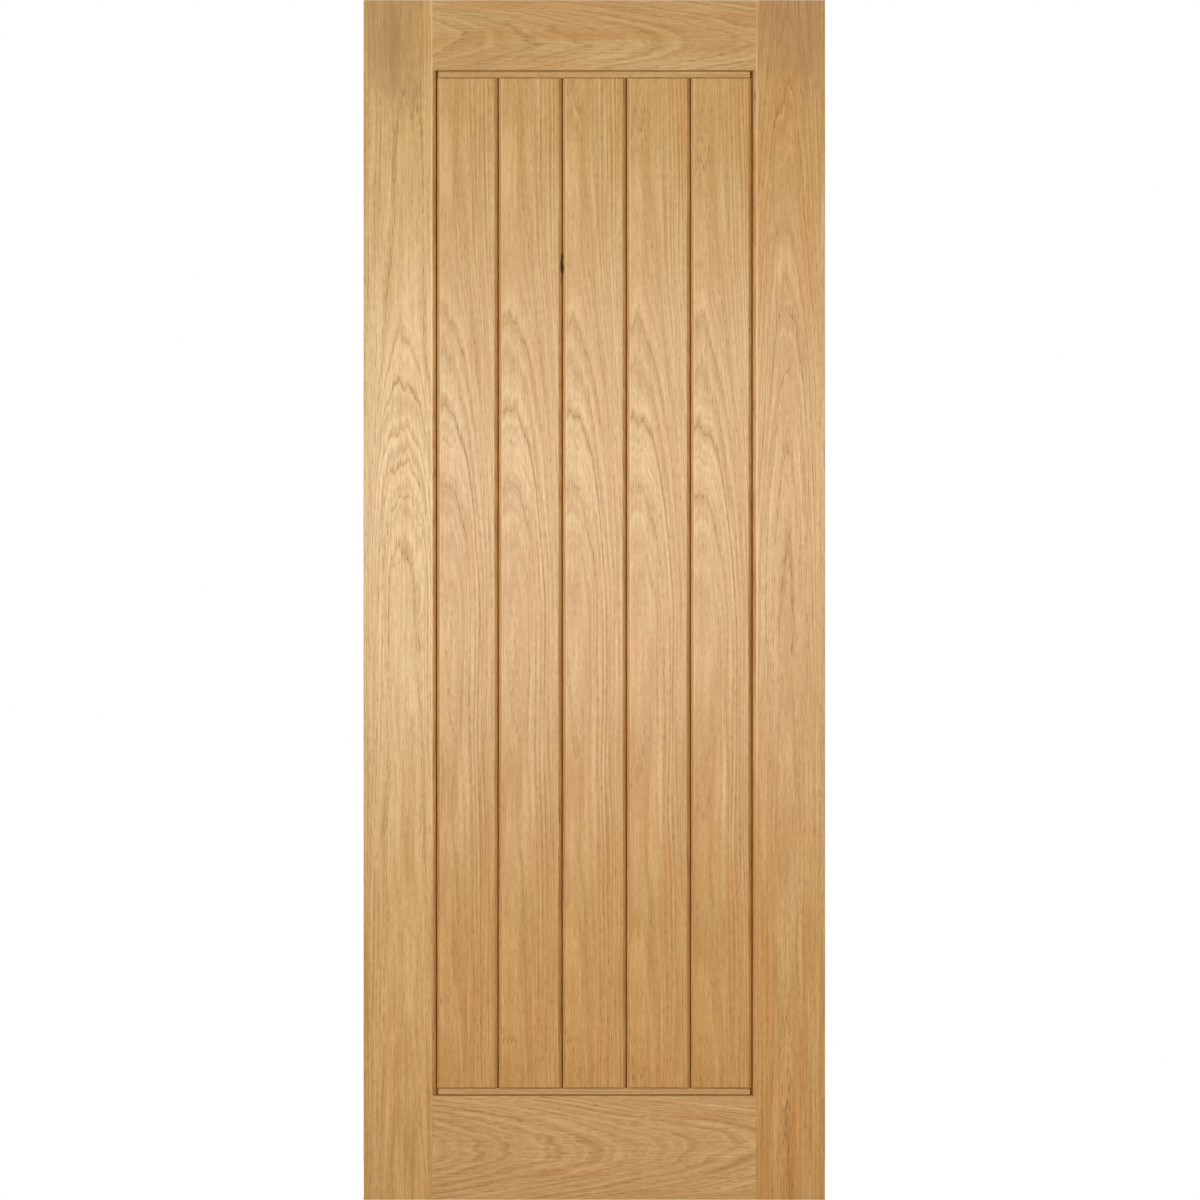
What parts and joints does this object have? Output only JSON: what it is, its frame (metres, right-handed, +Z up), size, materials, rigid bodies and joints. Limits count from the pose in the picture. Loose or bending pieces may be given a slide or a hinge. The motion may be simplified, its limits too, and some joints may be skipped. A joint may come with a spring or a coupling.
{
  "type": "cottage door leaf",
  "caption": "Unhung oak cottage door leaf: stiles and rails around upright V-jointed boards, with reeded beads at head and foot.",
  "frame": {"origin": "foot of the hinge edge, on its face and at the middle of the leaf's thickness", "axes": "+X from the hinge edge to the lock edge, +Y from the front face to the back face, +Z up"},
  "size_m": [0.762, 0.035, 1.981],
  "materials": {
    "frame_oak": "sanded, unfinished",
    "board_oak": "sanded, unfinished",
    "bead_oak": "moulded, unfinished",
    "lipping_oak": "planed, unfinished",
    "dowel_beech": "turned, unfinished"
  },
  "bodies": {
    "root": {"hinge_lipping": "lipping_oak", "lock_lipping": "lipping_oak", "hinge_stile": "frame_oak", "lock_stile": "frame_oak", "top_rail": "frame_oak", "bottom_rail": "frame_oak", "board_1": "board_oak", "board_2": "board_oak", "board_3": "board_oak", "board_4": "board_oak", "board_5": "board_oak", "top_bead_front": "bead_oak", "top_bead_back": "bead_oak", "bottom_bead_front": "bead_oak", "bottom_bead_back": "bead_oak", "hinge_top_dowel_1": "dowel_beech", "hinge_top_dowel_2": "dowel_beech", "hinge_bottom_dowel_1": "dowel_beech", "hinge_bottom_dowel_2": "dowel_beech", "hinge_bottom_dowel_3": "dowel_beech", "lock_top_dowel_1": "dowel_beech", "lock_top_dowel_2": "dowel_beech", "lock_bottom_dowel_1": "dowel_beech", "lock_bottom_dowel_2": "dowel_beech", "lock_bottom_dowel_3": "dowel_beech"}
  },
  "joints": []
}
